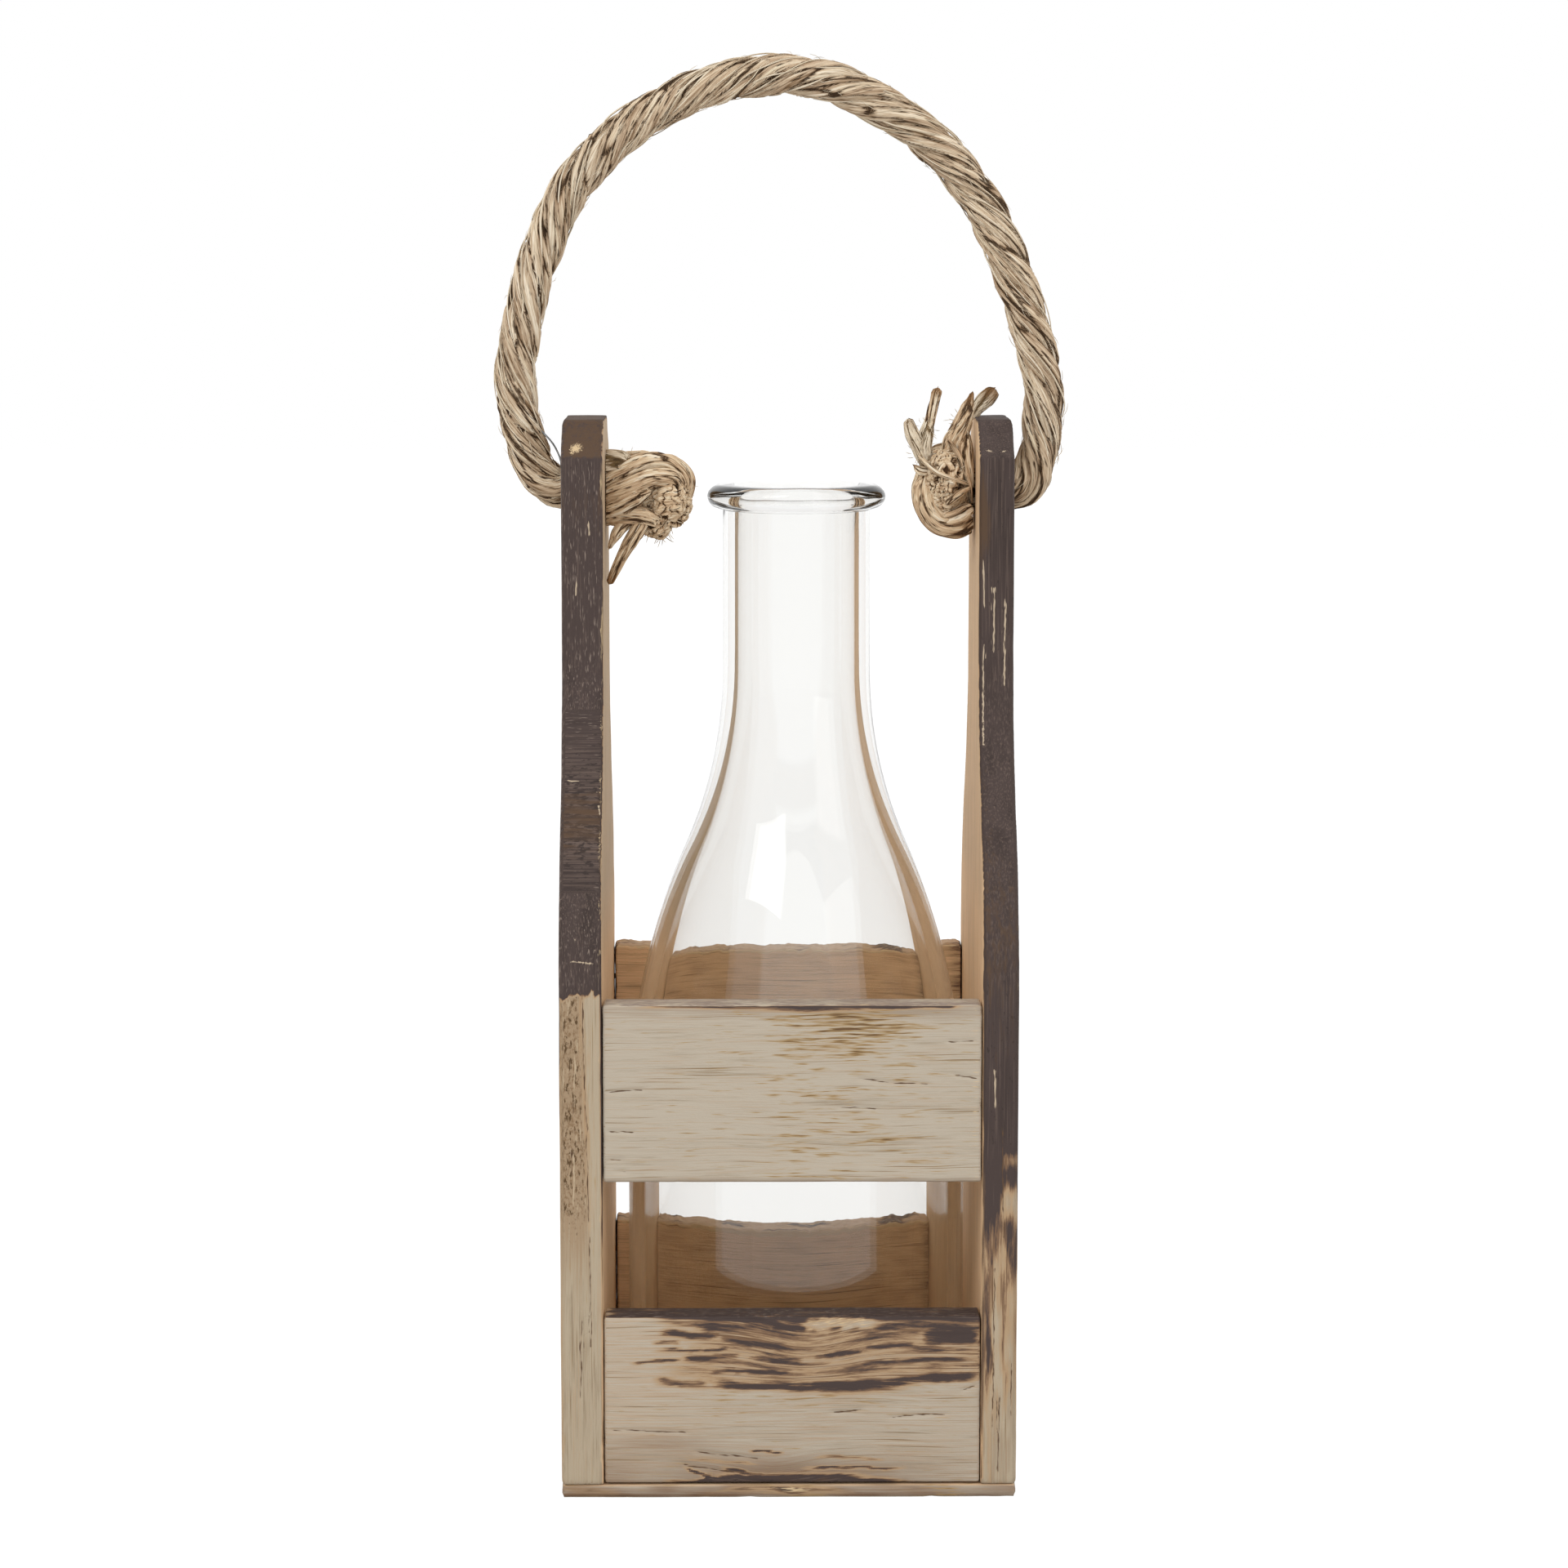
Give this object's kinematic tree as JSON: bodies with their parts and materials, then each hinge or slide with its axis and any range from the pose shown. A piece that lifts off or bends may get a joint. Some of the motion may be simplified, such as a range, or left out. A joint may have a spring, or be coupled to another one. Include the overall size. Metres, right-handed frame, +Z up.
{
  "type": "hurricane candle lantern",
  "caption": "Rustic wooden lantern frame with slats, a loose bottle-shaped glass chimney that lifts, and an arched rope handle that swings.",
  "frame": {"origin": "middle of the underside of the base board", "axes": "+Z up, the front slats towards -Y, +X to the right seen from the front"},
  "size_m": [0.1788, 0.14, 0.442],
  "materials": {
    "base_wood": "whitewashed softwood, worn",
    "charred_wood": "scorched softwood, brushed, worn through at the foot",
    "whitewashed_wood": "limewashed softwood with scorch marks",
    "brown_wood": "brown stained softwood",
    "clear_glass": "thick clear glass, slightly wavy",
    "natural_rope": "laid natural fibre rope, frayed ends",
    "galvanised_wire": "dull galvanised wire",
    "nail_steel": "dull steel, slightly rusted"
  },
  "bodies": {
    "frame": {"base_board": "base_wood", "left_side_board": "charred_wood", "right_side_board": "charred_wood", "lower_front_slat": "whitewashed_wood", "upper_front_slat": "whitewashed_wood", "lower_back_slat": "brown_wood", "upper_back_slat": "brown_wood", "left_board_nails": "nail_steel", "right_board_nails": "nail_steel", "base_nails": "nail_steel"},
    "chimney": {"glass_chimney": "clear_glass"},
    "handle": {"handle_rope": "natural_rope", "core_wire": "galvanised_wire", "left_knot": "natural_rope", "right_knot": "natural_rope"}
  },
  "joints": [
    {"name": "glass_lift", "type": "slide", "parent": "frame", "child": "chimney", "axis": [0, 0, 1], "range_m": [0, 0.09]},
    {"name": "handle_swing", "type": "hinge", "parent": "frame", "child": "handle", "pos_m": [0, 0, 0.306], "axis": [1, 0, 0], "range_deg": [-120, 120]}
  ]
}
